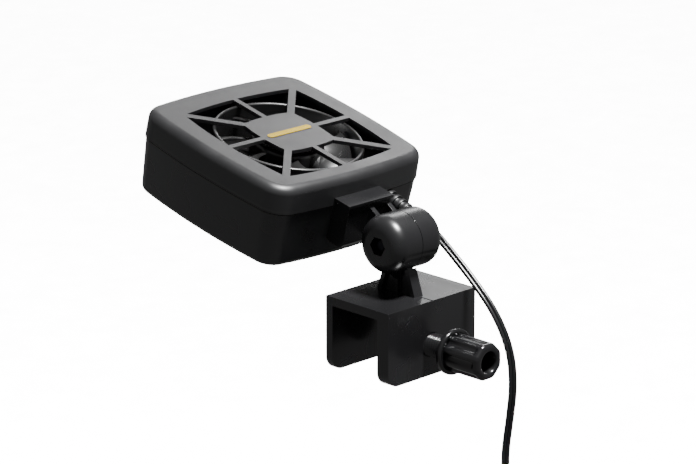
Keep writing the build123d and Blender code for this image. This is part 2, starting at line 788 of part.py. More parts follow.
# ---------------------------------------------------------------- glass clamp
with BuildPart() as clamp_body:
    with BuildSketch(Plane.XY):
        with Locations((0, (outer_y + inner_y) / 2)):
            Rectangle(clamp_length, inner_y - outer_y)
    extrude(amount=bridge_thickness)
    with BuildSketch(Plane.XY):
        with Locations((0, outer_y + screw_plate_thickness / 2)):
            Rectangle(clamp_length, screw_plate_thickness)
        with Locations((0, inner_y - back_plate_thickness / 2)):
            Rectangle(clamp_length, back_plate_thickness)
    extrude(amount=-plate_depth)
    plate_corners = clamp_body.edges().filter_by(Axis.Y).group_by(Axis.Z)[0]
    fillet(plate_corners, radius=plate_corner_radius)
    with BuildSketch(Plane.XY.offset(bridge_thickness)):
        with Locations((0, (outer_y + inner_y) / 2)):
            Rectangle(mould_line_width, inner_y - outer_y)
    extrude(amount=-mould_line_depth, mode=Mode.SUBTRACT)
    with BuildSketch(pedestal_plane.offset(-pedestal_thickness / 2)):
        add(pedestal_outline(0))
        add(pedestal_outline(pedestal_flange), mode=Mode.SUBTRACT)
        with Locations((0, pedestal_rise / 2)):
            Rectangle(pedestal_rib, pedestal_rise + pedestal_root)
    extrude(amount=pedestal_thickness)
    with BuildSketch(pedestal_plane.offset(-pedestal_web / 2)):
        add(pedestal_outline(0))
    extrude(amount=pedestal_web)
    with BuildSketch(Plane(origin=(0, pivot_y + pedestal_rib / 2, 0), x_dir=(1, 0, 0), z_dir=(0, -1, 0))):
        with BuildLine():
            Polyline(
                (pedestal_x, gusset_base),
                (-gusset_reach, pivot_height - knuckle_radius + pedestal_rib),
                (pedestal_x, pivot_height - knuckle_radius + pedestal_rib),
                close=True,
            )
        make_face()
    extrude(amount=pedestal_rib)
    with BuildSketch(knuckle.offset(knuckle_split_x)):
        Circle(knuckle_radius + knuckle_clearance)
    extrude(amount=pedestal_thickness, mode=Mode.SUBTRACT)
    add(knuckle_half(knuckle_split_x, -knuckle_length / 2))
    with BuildSketch(knuckle.offset(-knuckle_length)):
        Circle(bolt_diameter / 2 + running_clearance)
    extrude(amount=2 * knuckle_length, mode=Mode.SUBTRACT)
    with BuildSketch(knuckle.offset(nut_seat_x)):
        RegularPolygon(nut_across_flats / 2 + fit_clearance, 6, major_radius=False)
    extrude(amount=-knuckle_length, mode=Mode.SUBTRACT)
    with BuildSketch(screw_plane(outer_y + screw_plate_thickness + cut_margin)):
        Circle(screw_diameter / 2 + running_clearance)
    extrude(amount=screw_plate_thickness + 2 * cut_margin, mode=Mode.SUBTRACT)
export(clamp_body, "clamp_body")

pin_shoulder_y = pad_face_y - pad_thickness - fit_clearance
with BuildPart() as thumbscrew:
    with BuildSketch(screw_plane(pin_shoulder_y + pad_pin_length)):
        Circle(pad_pin_diameter / 2)
    extrude(amount=pad_pin_length)
    with BuildSketch(screw_plane(pin_shoulder_y)):
        Circle(screw_diameter / 2)
    extrude(amount=pin_shoulder_y - collar_y)
    with BuildSketch(screw_plane(collar_y)):
        Circle(screw_collar_diameter / 2)
    extrude(amount=screw_collar_thickness)
    fillet(thumbscrew.edges().sort_by(Axis.Y)[:2], radius=collar_edge_radius)
    with BuildSketch(screw_plane(knob_y)):
        Circle(knob_diameter / 2)
    extrude(amount=knob_length)
    fillet(thumbscrew.faces().sort_by(Axis.Y)[0].edges(), radius=knob_edge_radius)
    with BuildSketch(screw_plane(knob_y)):
        with PolarLocations(knob_diameter / 2 + knob_flute_offset, knob_flute_count):
            Circle(knob_flute_radius)
    extrude(amount=knob_length - knob_rim, mode=Mode.SUBTRACT)
    with BuildSketch(screw_plane(knob_y - knob_length + knob_bore_depth)):
        Circle(knob_bore / 2)
    extrude(amount=knob_bore_depth + cut_margin, mode=Mode.SUBTRACT)
export(thumbscrew, "thumbscrew")

with BuildPart() as pressure_pad:
    with BuildSketch(screw_plane(pad_face_y)):
        Circle(pad_diameter / 2)
    extrude(amount=pad_thickness)
    fillet(pressure_pad.faces().sort_by(Axis.Y)[-1].edges(), radius=pad_edge_radius)
    with BuildSketch(screw_plane(pad_face_y - pad_thickness)):
        Circle(pad_pin_diameter / 2 + running_clearance)
    extrude(amount=-(pad_pin_length + fit_clearance), mode=Mode.SUBTRACT)
export(pressure_pad, "pressure_pad")

# ---------------------------------------------------------------- strain relief and lead
with BuildPart() as strain_relief:
    with BuildSketch(relief_plane.offset(-shell_wall - relief_flange_gap - relief_flange_thickness)):
        Circle(relief_flange_diameter / 2)
    extrude(amount=relief_flange_thickness)
    with BuildSketch(relief_plane.offset(-shell_wall - relief_flange_gap)):
        Circle(relief_neck_diameter / 2 - fit_clearance)
    extrude(amount=shell_wall + relief_flange_gap + relief_stand_off)
    with BuildSketch(relief_plane.offset(relief_stand_off)):
        Circle(relief_core_diameter / 2)
    extrude(amount=relief_length - relief_stand_off)
    for ring in range(relief_ring_count):
        along = ring / (relief_ring_count - 1)
        start = relief_stand_off + along * (relief_length - relief_stand_off - relief_ring_width)
        ring_diameter = relief_root_diameter + along * (relief_tip_diameter - relief_root_diameter)
        with BuildSketch(relief_plane.offset(start)):
            Circle(ring_diameter / 2)
        extrude(amount=relief_ring_width)
export(strain_relief, "strain_relief")

lead_start = relief_plane.offset(relief_length).origin
lead_heading = lead_start + relief_plane.z_dir * lead_straight
cord_route = [
    lead_start,
    lead_heading,
    (16.3, -8.4, 14.2),
    (16.0, -18.6, 7.0),
    (15.8, -28.2, -1.4),
    (15.8, -35.0, -12.0),
    (16.0, -36.8, -24.0),
    (16.2, -35.6, -36.2),
    (16.2, -33.2, -48.8),
    (16.0, -32.2, -61.2),
]
export(tube(cord_route, lead_width, "cord_lead"), "cord_lead")

coil_x, coil_y, coil_top = cord_route[-1]
coil_centre = Vector(coil_x, coil_y, coil_top + coil_overlap - coil_mean_radius - coil_radial / 2)
coil_axis = Axis(coil_centre, (0, 1, 0))
coil_section = Plane(origin=coil_centre, x_dir=(0, 1, 0), z_dir=(1, 0, 0))
with BuildPart() as cord_coil:
    with BuildSketch(coil_section):
        with Locations((0, coil_mean_radius)):
            RectangleRounded(coil_axial, coil_radial, coil_edge_radius)
    revolve(axis=coil_axis)
export(cord_coil, "cord_coil")

tie_section = Plane(
    origin=coil_centre,
    x_dir=(0, 1, 0),
    z_dir=(cos(radians(tie_angle)), 0, -sin(radians(tie_angle))),
)
with BuildPart() as coil_tie:
    with BuildSketch(tie_section):
        with Locations((0, coil_mean_radius)):
            RectangleRounded(
                coil_axial + 2 * tie_wall, coil_radial + 2 * tie_wall, coil_edge_radius + tie_wall
            )
            RectangleRounded(coil_axial, coil_radial, coil_edge_radius, mode=Mode.SUBTRACT)
    revolve(axis=coil_axis, revolution_arc=tie_arc)
export(coil_tie, "coil_tie")

tail_x = coil_x + tail_shift[0]
tail_y = coil_y + tail_shift[1]
tail_top = coil_centre.Z - coil_mean_radius - coil_radial / 2 + coil_overlap
tail_route = [
    (coil_x, coil_y, tail_top),
    (tail_x, tail_y, tail_top - tail_length / 2),
    (tail_x, tail_y, tail_top - tail_length),
]
export(tube(tail_route, lead_width, "cord_tail"), "cord_tail")

plug_plane = Plane(origin=tail_route[-1], x_dir=(1, 0, 0), z_dir=(0, 0, -1))
with BuildPart() as plug_body:
    with BuildSketch(plug_plane):
        Circle(lead_width / 2 + plug_boot_wall)
    with BuildSketch(plug_plane.offset(plug_boot_length)):
        Circle(plug_boot_diameter / 2)
    loft()
    with BuildSketch(plug_plane.offset(plug_boot_length)):
        Circle(plug_body_diameter / 2)
    extrude(amount=plug_body_length)
    body_rims = plug_body.edges().filter_by(GeomType.CIRCLE).sort_by(SortBy.RADIUS)[-2:]
    fillet(body_rims, radius=plug_edge_radius)
export(plug_body, "plug_body")

plug_face = plug_plane.offset(plug_boot_length + plug_body_length)
with BuildPart() as plug_sleeve:
    with BuildSketch(plug_face):
        Circle(plug_sleeve_diameter / 2)
        Circle(plug_sleeve_diameter / 2 - plug_sleeve_wall, mode=Mode.SUBTRACT)
    extrude(amount=plug_sleeve_length - plug_tip_ring)
export(plug_sleeve, "plug_sleeve")

with BuildPart() as plug_insulator:
    with BuildSketch(plug_face):
        Circle(plug_sleeve_diameter / 2 - plug_sleeve_wall)
        Circle(plug_contact_outer / 2, mode=Mode.SUBTRACT)
    extrude(amount=plug_sleeve_length - plug_tip_ring)
    with BuildSketch(plug_face.offset(plug_sleeve_length - plug_tip_ring)):
        Circle(plug_sleeve_diameter / 2)
        Circle(plug_contact_outer / 2, mode=Mode.SUBTRACT)
    extrude(amount=plug_tip_ring)
export(plug_insulator, "plug_insulator")

with BuildPart() as plug_contact:
    with BuildSketch(plug_face):
        Circle(plug_contact_outer / 2)
        Circle(plug_contact_bore / 2, mode=Mode.SUBTRACT)
    extrude(amount=plug_sleeve_length - plug_tip_ring)
export(plug_contact, "plug_contact")

inner_route = [
    relief_plane.offset(-shell_wall - relief_flange_gap - relief_flange_thickness).origin,
    relief_plane.offset(-shell_wall - inner_lead_lead_in).origin,
    head_point(15.5, 32.5, -6.0),
    head_point(12.5, 37.5, -9.0),
    head_point(8.0, 44.5, -10.8),
    head_point(4.5, 50.5, -10.5),
    head_point(4.5, 50.5, duct_bottom),
]
export(tube(inner_route, inner_lead_diameter, "inner_lead"), "inner_lead")
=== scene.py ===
"""Clip-on cooling fan for an aquarium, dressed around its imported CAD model.

Lengths are in metres, in the model's own frame: +X runs along the glass rim, +Y points over the
water, +Z is up, and the origin is on the seat where the clamp rests on the glass.
"""

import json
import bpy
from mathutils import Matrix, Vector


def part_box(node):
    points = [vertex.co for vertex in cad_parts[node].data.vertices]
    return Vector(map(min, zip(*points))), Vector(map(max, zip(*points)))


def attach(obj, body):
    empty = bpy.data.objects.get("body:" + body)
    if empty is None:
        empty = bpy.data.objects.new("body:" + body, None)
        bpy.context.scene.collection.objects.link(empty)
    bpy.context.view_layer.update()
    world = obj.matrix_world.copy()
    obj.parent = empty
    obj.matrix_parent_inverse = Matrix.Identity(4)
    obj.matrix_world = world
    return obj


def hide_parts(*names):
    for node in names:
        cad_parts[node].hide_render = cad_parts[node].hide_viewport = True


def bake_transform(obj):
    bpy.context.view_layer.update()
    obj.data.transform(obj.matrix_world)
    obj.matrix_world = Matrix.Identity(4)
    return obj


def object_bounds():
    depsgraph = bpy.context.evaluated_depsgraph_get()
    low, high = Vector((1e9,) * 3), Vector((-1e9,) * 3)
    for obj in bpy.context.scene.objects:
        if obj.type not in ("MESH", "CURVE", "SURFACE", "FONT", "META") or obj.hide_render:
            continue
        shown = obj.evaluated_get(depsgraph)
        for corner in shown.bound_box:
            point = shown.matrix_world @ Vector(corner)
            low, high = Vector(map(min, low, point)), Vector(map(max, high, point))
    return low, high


bl_info = {
    "name": "Clip-on aquarium fan",
    "version": (1, 0, 0),
    "blender": (4, 5, 0),
    "location": "3D View > Sidebar > Aquarium fan",
    "description": "Finishes and details a clip-on aquarium fan around its CAD model",
    "category": "Object",
}

from math import asin, cos, pi, radians, sin, sqrt

import bmesh
import bpy
from mathutils import Matrix, Vector

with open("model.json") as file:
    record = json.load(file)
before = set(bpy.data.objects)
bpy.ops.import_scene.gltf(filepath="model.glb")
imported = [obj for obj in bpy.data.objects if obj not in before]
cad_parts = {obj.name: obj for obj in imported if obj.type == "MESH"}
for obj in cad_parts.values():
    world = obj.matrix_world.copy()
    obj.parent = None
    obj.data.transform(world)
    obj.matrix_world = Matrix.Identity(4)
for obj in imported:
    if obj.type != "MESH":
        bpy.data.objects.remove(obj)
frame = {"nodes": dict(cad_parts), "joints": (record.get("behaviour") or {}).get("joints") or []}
cad_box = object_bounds()
joints = {joint["name"]: joint for joint in frame["joints"]}

MM = 0.001
ACROSS = (1, 0, 0)
TOWARDS_KNOB = (0, -1, 0)


# ---------------------------------------------------------------- sizes and colours
def linear(hex_colour):
    """A hex colour as it is written for a screen, turned into linear light."""
    channels = [int(hex_colour[at : at + 2], 16) / 255 for at in (1, 3, 5)]
    return [c / 12.92 if c <= 0.04045 else ((c + 0.055) / 1.055) ** 2.4 for c in channels]


def length(name, description, default):
    """A length that a user can change."""
    return bpy.props.FloatProperty(
        name=name, description=description, default=default, min=0.0, unit="LENGTH", precision=5
    )


def colour(name, description, hex_colour):
    """A colour that a user can change."""
    return bpy.props.FloatVectorProperty(
        name=name,
        description=description,
        default=linear(hex_colour),
        subtype="COLOR",
        min=0.0,
        max=1.0,
    )


class FanSizes(bpy.types.PropertyGroup):
    """Sizes of the pieces that are finer here than in the CAD model."""

    hub_radius: length("Hub radius", "Outside radius of the impeller's hub", 12.25 * MM)
    hub_height: length("Hub height", "Height of the impeller's hub", 10.4 * MM)
    blade_count: bpy.props.IntProperty(
        name="Blades", description="Number of blades", default=7, min=3, max=13
    )
    blade_tip: length("Blade tip", "Radius that the blades reach", 22.9 * MM)
    blade_thickness: length("Blade thickness", "Thickness of a blade at its middle", 1.1 * MM)
    thread_radius: length("Thread radius", "Outside radius of the thumbscrew's thread", 3.97 * MM)
    thread_pitch: length("Thread pitch", "Advance of the thread in one turn", 1.0 * MM)
    thread_depth: length("Thread depth", "Depth of the thread's groove", 0.55 * MM)
    collar_radius: length("Collar radius", "Radius of the thumbscrew's collar", 7.6 * MM)
    knob_radius: length("Knob radius", "Outside radius of the knob", 6.2 * MM)
    knob_flutes: bpy.props.IntProperty(
        name="Flutes", description="Number of flutes around the knob", default=8, min=3, max=24
    )
    flute_radius: length("Flute radius", "Radius of a flute's hollow", 1.75 * MM)
    knob_bore: length("Knob bore", "Radius of the hole in the knob's end", 3.5 * MM)


class LeadSizes(bpy.types.PropertyGroup):
    """Sizes of the lead, its spare coil and its plug."""

    width: length("Lead width", "Width across both cores", 2.7 * MM)
    core_radius: length("Core radius", "Outside radius of one insulated core", 0.74 * MM)
    real_length: length("Lead length", "Length from the strain relief to the plug", 1.2)
    coil_radius: length("Coil radius", "Radius at the middle of the coil's turns", 15.0 * MM)
    turns_across: bpy.props.IntProperty(
        name="Turns side by side", description="Turns side by side", default=4, min=1, max=8
    )
    turns_deep: bpy.props.IntProperty(
        name="Turns on each other", description="Layers of turns", default=3, min=1, max=8
    )
    tie_width: length("Tie width", "Width of the tie around the coil", 3.4 * MM)
    tie_thickness: length("Tie thickness", "Thickness of the tie's strap", 0.9 * MM)


class FanColours(bpy.types.PropertyGroup):
    """Colours of the finishes, each as the material looks in plain daylight."""

    cover: colour("Cover", "Spark-eroded ABS of the top cover", "#19191a")
    housing: colour("Housing", "Satin ABS of the lower housing", "#1a1a1b")
    clamp: colour("Clamp", "Semi-gloss ABS of the clamp and bracket", "#131314")
    knob: colour("Knob", "Glossy ABS of the thumbscrew", "#0f0f10")
    fan: colour("Fan", "Glass-filled PBT of the fan", "#141414")
    lead: colour("Lead", "PVC of the lead", "#111112")
    foil: colour("Foil", "Hot-stamped gold foil", "#c8a800")


class AquariumFanSettings(bpy.types.PropertyGroup):
    """Everything that a user may change."""

    sizes: bpy.props.PointerProperty(type=FanSizes)
    lead: bpy.props.PointerProperty(type=LeadSizes)
    colours: bpy.props.PointerProperty(type=FanColours)


def settings():
    """The settings kept with the scene."""
    return bpy.context.scene.aquarium_fan


# ---------------------------------------------------------------- making meshes
def standing(origin, axis, across):
    """Matrix of a place whose z runs along the axis and whose x lies nearest to across."""
    z = Vector(axis).normalized()
    y = z.cross(Vector(across)).normalized()
    x = y.cross(z)
    place = Matrix((x, y, z)).transposed().to_4x4()
    place.translation = Vector(origin)
    return place


def skin(rings, closed_start=True, closed_end=True, looped=False):
    """Vertices and faces of a skin over rings of equally many points; looped joins last to first."""
    count = len(rings[0])
    vertices = [point for ring in rings for point in ring]
    faces = []
    for row in range(len(rings) if looped else len(rings) - 1):
        low, high = row * count, (row + 1) % len(rings) * count
        for column in range(count):
            following = (column + 1) % count
            faces.append((low + column, low + following, high + following, high + column))
    if closed_start:
        faces.append(tuple(range(count - 1, -1, -1)))
    if closed_end:
        last = (len(rings) - 1) * count
        faces.append(tuple(range(last, last + count)))
    return vertices, faces


def turned(place, profile, steps=96):
    """Rings of a turned shape: the profile is a list of (radius, height) in the place."""
    rings = []
    for radius, height in profile:
        ring = []
        for step in range(steps):
            angle = 2 * pi * step / steps
            ring.append(place @ Vector((radius * cos(angle), radius * sin(angle), height)))
        rings.append(ring)
    return rings


def rounded_step(radius, height, turn_in, turn_up, edge, steps=4):
    """Points of a rounded edge of a turned profile, between its side and its end."""
    centre_radius = radius - turn_in * edge
    centre_height = height - turn_up * edge
    points = []
    for step in range(steps + 1):
        angle = pi / 2 * step / steps
        inward, upward = turn_in * edge * cos(angle), turn_up * edge * sin(angle)
        points.append((centre_radius + inward, centre_height + upward))
    return points


def new_piece(name, parts, material, body, replaces=(), crease=radians(38)):
    """A mesh piece made of one or more skins, finished, and riding on its body if it has one."""
    vertices, faces = [], []
    for part_vertices, part_faces in parts:
        start = len(vertices)
        vertices.extend(part_vertices)
        faces.extend(tuple(start + corner for corner in face) for face in part_faces)
    mesh = bpy.data.meshes.new(name)
    mesh.from_pydata(vertices, [], faces)
    mesh.validate()
    mesh.update()
    for polygon in mesh.polygons:
        polygon.use_smooth = True
    mesh.set_sharp_from_angle(angle=crease)
    mesh.materials.append(material)
    piece = bpy.data.objects.new(name, mesh)
    bpy.context.scene.collection.objects.link(piece)
    if body:
        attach(piece, body)
    if replaces:
        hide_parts(*replaces)
    return piece


def frames_along(path, first_side):
    """A side and a normal at each point of a path, carried along it without twist."""
    side = Vector(first_side)
    frames = []
    for at, point in enumerate(path):
        before = path[max(at - 1, 0)]
        after = path[min(at + 1, len(path) - 1)]
        heading = (after - before).normalized()
        side = (side - heading * side.dot(heading)).normalized()
        frames.append((side.copy(), heading.cross(side).normalized()))
    return frames


def swept(path, section, first_side):
    """Rings of a section, a list of (side, normal) offsets, carried along a path."""
    rings = []
    for point, (side, normal) in zip(path, frames_along(path, first_side)):
        rings.append([point + side * across + normal * up for across, up in section])
    return rings


# ---------------------------------------------------------------- making materials
def add_node(tree, kind, inputs=None, **options):
    """Adds a node with its settings; an input that is a socket is linked."""
    made = tree.nodes.new(kind)
    for name, value in options.items():
        setattr(made, name, value)
    for name, value in (inputs or {}).items():
        if isinstance(value, bpy.types.NodeSocket):
            tree.links.new(value, made.inputs[name])
        else:
            made.inputs[name].default_value = value
    return made


def new_material(name, base, roughness, ior=1.5, metallic=0.0, coat=0.0):
    """A material whose even values sit on the shader itself."""
    material = bpy.data.materials.new(name)
    material.use_nodes = True
    material.diffuse_color = (*base, 1.0)
    material.roughness = roughness
    tree = material.node_tree
    shader = tree.nodes["Principled BSDF"]
    shader.inputs["Base Color"].default_value = (*base, 1.0)
    shader.inputs["Roughness"].default_value = roughness
    shader.inputs["IOR"].default_value = ior
    shader.inputs["Metallic"].default_value = metallic
    shader.inputs["Coat Weight"].default_value = coat
    return material, tree, shader


def patterned(tree, shader, height, depth, tint=None, rough=None):
    """Joins a pattern to the shader as relief, and as small shifts of colour and roughness."""
    bump = add_node(tree, "ShaderNodeBump", {"Height": height, "Distance": depth, "Strength": 1.0})
    tree.links.new(bump.outputs["Normal"], shader.inputs["Normal"])
    if tint:
        source, dark, light = tint
        ramp = add_node(tree, "ShaderNodeValToRGB", {"Fac": source})
        ramp.color_ramp.elements[0].color = (*dark, 1.0)
        ramp.color_ramp.elements[1].color = (*light, 1.0)
        tree.links.new(ramp.outputs["Color"], shader.inputs["Base Color"])
    if rough:
        source, low, high = rough
        spread = add_node(
            tree,
            "ShaderNodeMapRange",
            {"Value": source, "From Min": 0.3, "From Max": 0.7, "To Min": low, "To Max": high},
        )
        tree.links.new(spread.outputs["Result"], shader.inputs["Roughness"])
    return bump


def shade(base, factor):
    """The same colour, lighter or darker."""
    return [min(channel * factor, 1.0) for channel in base]


def moulded_plastic(name, base, roughness, grain, depth, spread=0.06, ior=1.53, coat=0.0):
    """Moulded plastic: a fine grain of the mould's own size over faint cloudy patches."""
    cloud_size = 14 * MM
    material, tree, shader = new_material(name, base, roughness, ior=ior, coat=coat)
    where = add_node(tree, "ShaderNodeTexCoord")
    fine = add_node(
        tree,
        "ShaderNodeTexNoise",
        {"Vector": where.outputs["Object"], "Scale": 1 / grain, "Detail": 2.0, "Roughness": 0.6},
    )
    cloud = add_node(
        tree,
        "ShaderNodeTexNoise",
        {"Vector": where.outputs["Object"], "Scale": 1 / cloud_size, "Detail": 3.0},
    )
    patterned(
        tree,
        shader,
        fine.outputs["Fac"],
        depth,
        tint=(cloud.outputs["Fac"], shade(base, 0.85), shade(base, 1.2)),
        rough=(cloud.outputs["Fac"], roughness - spread, roughness + spread),
    )
    return material


def turned_metal(name, base, roughness, pitch, depth):
    """Machined or plated metal, with fine tool marks as coarse as they need to be to show."""
    material, tree, shader = new_material(name, base, roughness, metallic=1.0)
    where = add_node(tree, "ShaderNodeTexCoord")
    marks = add_node(
        tree,
        "ShaderNodeTexNoise",
        {"Vector": where.outputs["Object"], "Scale": 1 / pitch, "Detail": 4.0, "Roughness": 0.7},
    )
    patterned(
        tree,
        shader,
        marks.outputs["Fac"],
        depth,
        tint=(marks.outputs["Fac"], shade(base, 0.85), shade(base, 1.1)),
        rough=(marks.outputs["Fac"], roughness - 0.06, roughness + 0.08),
    )
    return material


def banded(name, base, roughness, pitch, depth, direction, metallic=1.0):
    """Stacked sheets or wound wire: bands of the pitch, one after another along a direction, with
    painted shade in the grooves between them.
    """
    material, tree, shader = new_material(name, base, roughness, metallic=metallic)
    where = add_node(tree, "ShaderNodeTexCoord")
    # A wave node repeats every pi / 10 units at scale 1, so the scale is worked out from that.
    along = add_node(tree, "ShaderNodeVectorMath", operation="DOT_PRODUCT")
    tree.links.new(where.outputs["Object"], along.inputs[0])
    along.inputs[1].default_value = direction
    line = add_node(tree, "ShaderNodeCombineXYZ", {"X": along.outputs["Value"]})
    bands = add_node(
        tree,
        "ShaderNodeTexWave",
        {"Vector": line.outputs["Vector"], "Scale": pi / 10 / pitch, "Distortion": 0.0},
    )
    # The colour is darkened into each groove as painted shade and lightened on each crest as a painted
    # highlight; in the sheet stack the dark lines also stand partly for the real seams between sheets.
    patterned(
        tree,
        shader,
        bands.outputs["Fac"],
        depth,
        tint=(bands.outputs["Fac"], shade(base, 0.55), shade(base, 1.15)),
    )
    return material


def spark_eroded_abs():
    """ABS from a spark-eroded mould: an even fine matte grain that goes grey under the light."""
    return moulded_plastic(
        "spark_eroded_abs", settings().colours.cover, 0.38, grain=0.35 * MM, depth=0.012 * MM
    )


def satin_abs():
    """ABS from a finely blasted mould: dark, with soft wide reflections."""
    return moulded_plastic(
        "satin_abs", settings().colours.housing, 0.3, grain=0.4 * MM, depth=0.007 * MM
    )


def semi_gloss_abs():
    """ABS from a stoned mould: clear highlights with faint cloudy flow marks."""
    return moulded_plastic(
        "semi_gloss_abs", settings().colours.clamp, 0.26, grain=0.9 * MM, depth=0.004 * MM
    )


def glossy_abs():
    """ABS from a polished mould: bright narrow highlights."""
    return moulded_plastic(
        "glossy_abs", settings().colours.knob, 0.19, grain=1.2 * MM, depth=0.005 * MM, spread=0.04
    )


def glass_filled_pbt():
    """Glass-filled PBT of a small axial fan: dark and satin, with a faint streaky grain."""
    return moulded_plastic(
        "glass_filled_pbt", settings().colours.fan, 0.3, grain=0.5 * MM, depth=0.01 * MM, ior=1.55
    )


def pvc_lead():
    """Extruded PVC: satin, with slight lengthwise unevenness that makes its highlight waver."""
    return moulded_plastic(
        "pvc_lead", settings().colours.lead, 0.22, grain=1.6 * MM, depth=0.02 * MM, ior=1.53
    )


def moulded_pvc():
    """Soft moulded PVC of the plug and strain relief: satin and slightly rubbery."""
    return moulded_plastic(
        "moulded_pvc", settings().colours.lead, 0.42, grain=0.4 * MM, depth=0.01 * MM
    )


def nitrile_rubber():
    """Pressed nitrile rubber: matte, with a dusty bloom."""
    return moulded_plastic(
        "nitrile_rubber", linear("#1c1b1a"), 0.68, grain=0.3 * MM, depth=0.02 * MM, ior=1.52
    )


def polyamide_tie():
    """Moulded nylon 66: satin and a little waxy."""
    return moulded_plastic("polyamide_tie", linear("#161616"), 0.38, grain=0.6 * MM, depth=0.01 * MM)


def acetal():
    """Black acetal: a fine even satin."""
    return moulded_plastic("acetal", linear("#1a1a1a"), 0.34, grain=0.4 * MM, depth=0.006 * MM)


def stamped_foil():
    """Hot-stamped gold foil: it takes the grain of the plastic under it."""
    return turned_metal("stamped_foil", settings().colours.foil, 0.3, 0.3 * MM, 0.01 * MM)


def zinc_plate():
    """Zinc-plated steel: pale, slightly blue and finely mottled."""
    return turned_metal("zinc_plate", linear("#b9bcc0"), 0.33, 0.4 * MM, 0.006 * MM)


def black_oxide():
    """Blackened steel: nearly black, with a thin oily sheen."""
    return turned_metal("black_oxide", linear("#26262a"), 0.36, 0.4 * MM, 0.006 * MM)


def ground_steel():
    """Ground steel shaft: bright, with very fine rings."""
    return turned_metal("ground_steel", linear("#c4c4c2"), 0.16, 0.2 * MM, 0.002 * MM)


def bright_nickel():
    """Bright nickel over brass: warm, smooth and mirror-like."""
    return turned_metal("bright_nickel", linear("#cfcbc2"), 0.14, 0.5 * MM, 0.002 * MM)


def sintered_bronze():
    """Sintered bronze, soaked in oil: brown-gold with open pores."""
    return turned_metal("sintered_bronze", linear("#9a7440"), 0.42, 0.25 * MM, 0.02 * MM)


def ferrite():
    """Pressed ferrite: charcoal, with a fine stony grain."""
    return moulded_plastic("ferrite", linear("#2b2b2d"), 0.55, 0.3 * MM, 0.02 * MM, ior=2.3)


def fan_axis():
    """Direction of the rotor's shaft."""
    return tuple(joints["rotor_spin"]["axis"])


def lamination_stack():
    """Stack of punched silicon-steel sheets, 0.5 mm each, so its sides are finely lined."""
    return banded("lamination_stack", linear("#6d6e72"), 0.38, 0.5 * MM, 0.03 * MM, fan_axis())


def enamelled_wire():
    """Enamelled copper wire wound side by side, drawn as 0.35 mm wire so that its turns show."""
    return banded("enamelled_wire", linear("#a85a2a"), 0.28, 0.35 * MM, 0.06 * MM, fan_axis())


def epoxy_board():
    """Glass-epoxy circuit board under green solder mask: dark green, smooth and a little glossy."""
    base = linear("#1f5a34")
    track_spacing = 2.2 * MM
    material, tree, shader = new_material("epoxy_board", base, 0.3, ior=1.55, coat=0.3)
    where = add_node(tree, "ShaderNodeTexCoord")
    tracks = add_node(
        tree,
        "ShaderNodeTexVoronoi",
        {"Vector": where.outputs["Object"], "Scale": 1 / track_spacing, "Randomness": 0.4},
        feature="DISTANCE_TO_EDGE",
    )
    patterned(
        tree,
        shader,
        tracks.outputs["Distance"],
        0.05 * MM,
        tint=(tracks.outputs["Distance"], shade(base, 0.6), shade(base, 1.2)),
    )
    return material


def studio_paper():
    """Seamless paper sweep: pale, matte and nearly even."""
    return moulded_plastic("studio_paper", linear("#f7f7f7"), 0.9, 3 * MM, 0.02 * MM, spread=0.02)


# ---------------------------------------------------------------- operators
class AQUARIUMFAN_OT_camera(bpy.types.Operator):
    """Place the camera above and to the left of the clamp"""

    bl_idname = "aquarium_fan.camera"
    bl_label = "Camera"

    def execute(self, context):
        azimuth, elevation = radians(-44.92), radians(16.88)
        data = bpy.data.cameras.new("camera")
        data.sensor_width = 36.0
        data.lens = 175.9
        data.clip_start, data.clip_end = 0.05, 20.0
        data.dof.use_dof = False
        camera = bpy.data.objects.new("camera", data)
        back = Vector(
            (sin(azimuth) * cos(elevation), -cos(azimuth) * cos(elevation), sin(elevation))
        )
        camera.location = Vector((-0.7449, -0.7240, 0.33775))
        camera.rotation_mode = "QUATERNION"
        camera.rotation_quaternion = (-back).to_track_quat("-Z", "Y")
        context.scene.collection.objects.link(camera)
        context.scene.camera = camera
        return {"FINISHED"}


def lead_route():
    """The lead's route from the strain relief down to the coil, as given."""
    return [
        (16.5, 7.54, 22.01),
        (16.5, 0.93, 19.71),
        (16.1, -8.0, 14.0),
        (15.7, -18.4, 6.7),
        (15.5, -28.2, -1.8),
        (15.4, -34.8, -12.4),
        (15.4, -36.4, -24.0),
        (15.5, -34.8, -36.2),
        (15.8, -32.6, -48.8),
    ]


def spare_coil(lead, centre):
    """Control points of the coil's turns, wound layer over layer around the Y axis."""
    points_per_turn = 16
    start_angle, end_angle = 30, 130
    step_over = 0.2
    step = 2 * pi / points_per_turn
    # A spline through points on a circle runs a little inside it.
    outward = 4 / (3 + cos(step))
    slots = []
    for across in range(lead.turns_across):
        layers = range(lead.turns_deep)
        if across % 2 == 0:
            layers = reversed(layers)
        for layer in layers:
            radius = lead.coil_radius + (layer - (lead.turns_deep - 1) / 2) * lead.width
            aside = (across - (lead.turns_across - 1) / 2) * lead.width
            slots.append((radius, aside))
    first = start_angle / 360
    last = len(slots) - 1 + end_angle / 360
    points = []
    for at in range(int((last - first) * points_per_turn) + 1):
        turn = first + at / points_per_turn
        slot = int(turn)
        # Each turn steps over into its next place during the last part of it.
        blend = max(0.0, (turn - slot - (1 - step_over)) / step_over)
        blend = blend * blend * (3 - 2 * blend)
        radius, aside = (
            here + (there - here) * blend
            for here, there in zip(slots[slot], slots[min(slot + 1, len(slots) - 1)])
        )
        # Hand-wound turns waver by about a tenth of a millimetre.
        uneven = 0.12 * MM * sin(7.3 * turn) + 0.08 * MM * sin(2.9 * turn + 1)
        angle = 2 * pi * turn
        reach = (radius + uneven) * outward
        points.append(centre + Vector((reach * sin(angle), aside + uneven, reach * cos(angle))))
    return points


